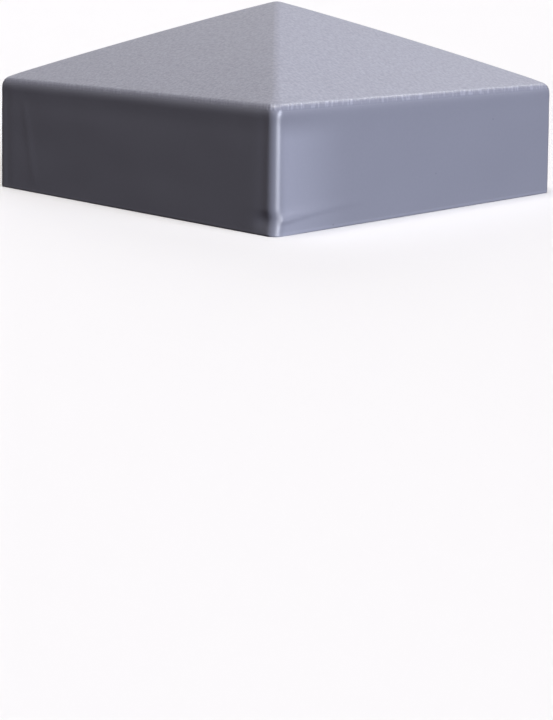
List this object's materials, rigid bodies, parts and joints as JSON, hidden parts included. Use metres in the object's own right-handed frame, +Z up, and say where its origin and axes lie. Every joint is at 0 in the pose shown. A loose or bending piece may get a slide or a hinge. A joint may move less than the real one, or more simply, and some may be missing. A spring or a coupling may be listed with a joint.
{
  "type": "fence post cap",
  "caption": "Low pyramid cap for a square fence post: a drafted, ribbed plastic moulding that slips over the top of the post and is held by self-adhesive foam pads.",
  "frame": {"origin": "centre of the mouth plane, where the rim of the skirt ends", "axes": "+Z up through the apex, +X and +Y square to the walls, with the front wall facing -Y"},
  "size_m": [0.1, 0.1, 0.0466],
  "materials": {
    "shell_plastic": "blue-grey moulded plastic, fine matt grain on the roof and a smooth satin skirt",
    "pad_foam": "dark closed-cell foam with adhesive faces"
  },
  "bodies": {
    "root": {"cap_shell": "shell_plastic", "seat_pad_front_left": "pad_foam", "seat_pad_front_right": "pad_foam", "seat_pad_back_left": "pad_foam", "seat_pad_back_right": "pad_foam"}
  },
  "joints": []
}
